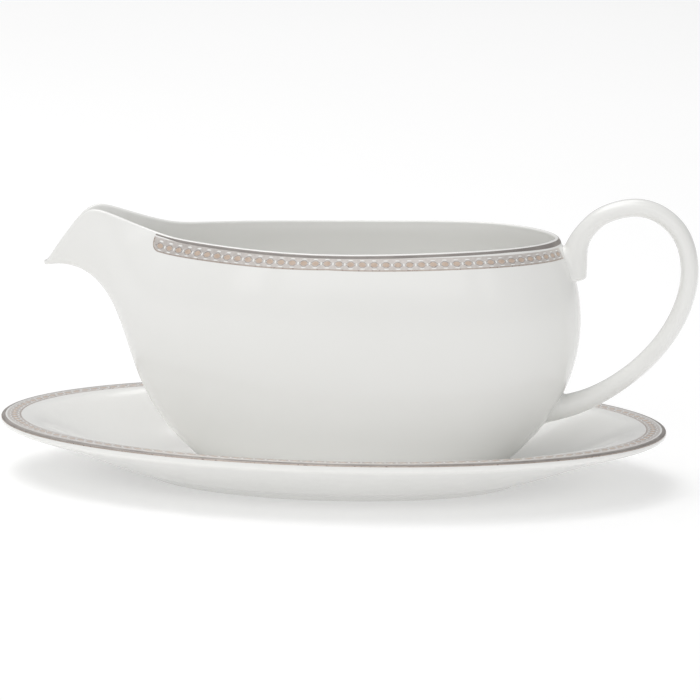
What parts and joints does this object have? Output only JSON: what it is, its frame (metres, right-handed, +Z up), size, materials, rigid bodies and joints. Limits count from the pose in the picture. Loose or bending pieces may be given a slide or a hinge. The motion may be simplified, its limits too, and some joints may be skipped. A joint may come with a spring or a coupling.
{
  "type": "gravy boat with stand",
  "caption": "Oval glazed china gravy boat with a pouring spout and a tall loop handle, resting on a shallow oval stand.",
  "frame": {"origin": "centre of the stand's foot ring, on the table the set stands on", "axes": "+Z up, +X along the set's length towards the boat's handle, -X towards its spout"},
  "size_m": [0.2395, 0.16, 0.1004],
  "materials": {
    "china": "white bone china under a clear gloss glaze",
    "platinum": "burnished platinum line fired on the glaze",
    "pattern": "printed pinkish-grey lustre transfer with beige and white motifs"
  },
  "bodies": {
    "stand": {"stand": "china", "stand_rim_line": "platinum", "stand_band": "pattern"},
    "boat": {"boat_body": "china", "boat_handle": "china", "boat_rim_line": "platinum", "boat_band_front": "pattern", "boat_band_back": "pattern"}
  },
  "joints": [
    {"name": "boat_lift", "type": "slide", "parent": "stand", "child": "boat", "axis": [0, 0, 1], "range_m": [0, 0.12]}
  ]
}
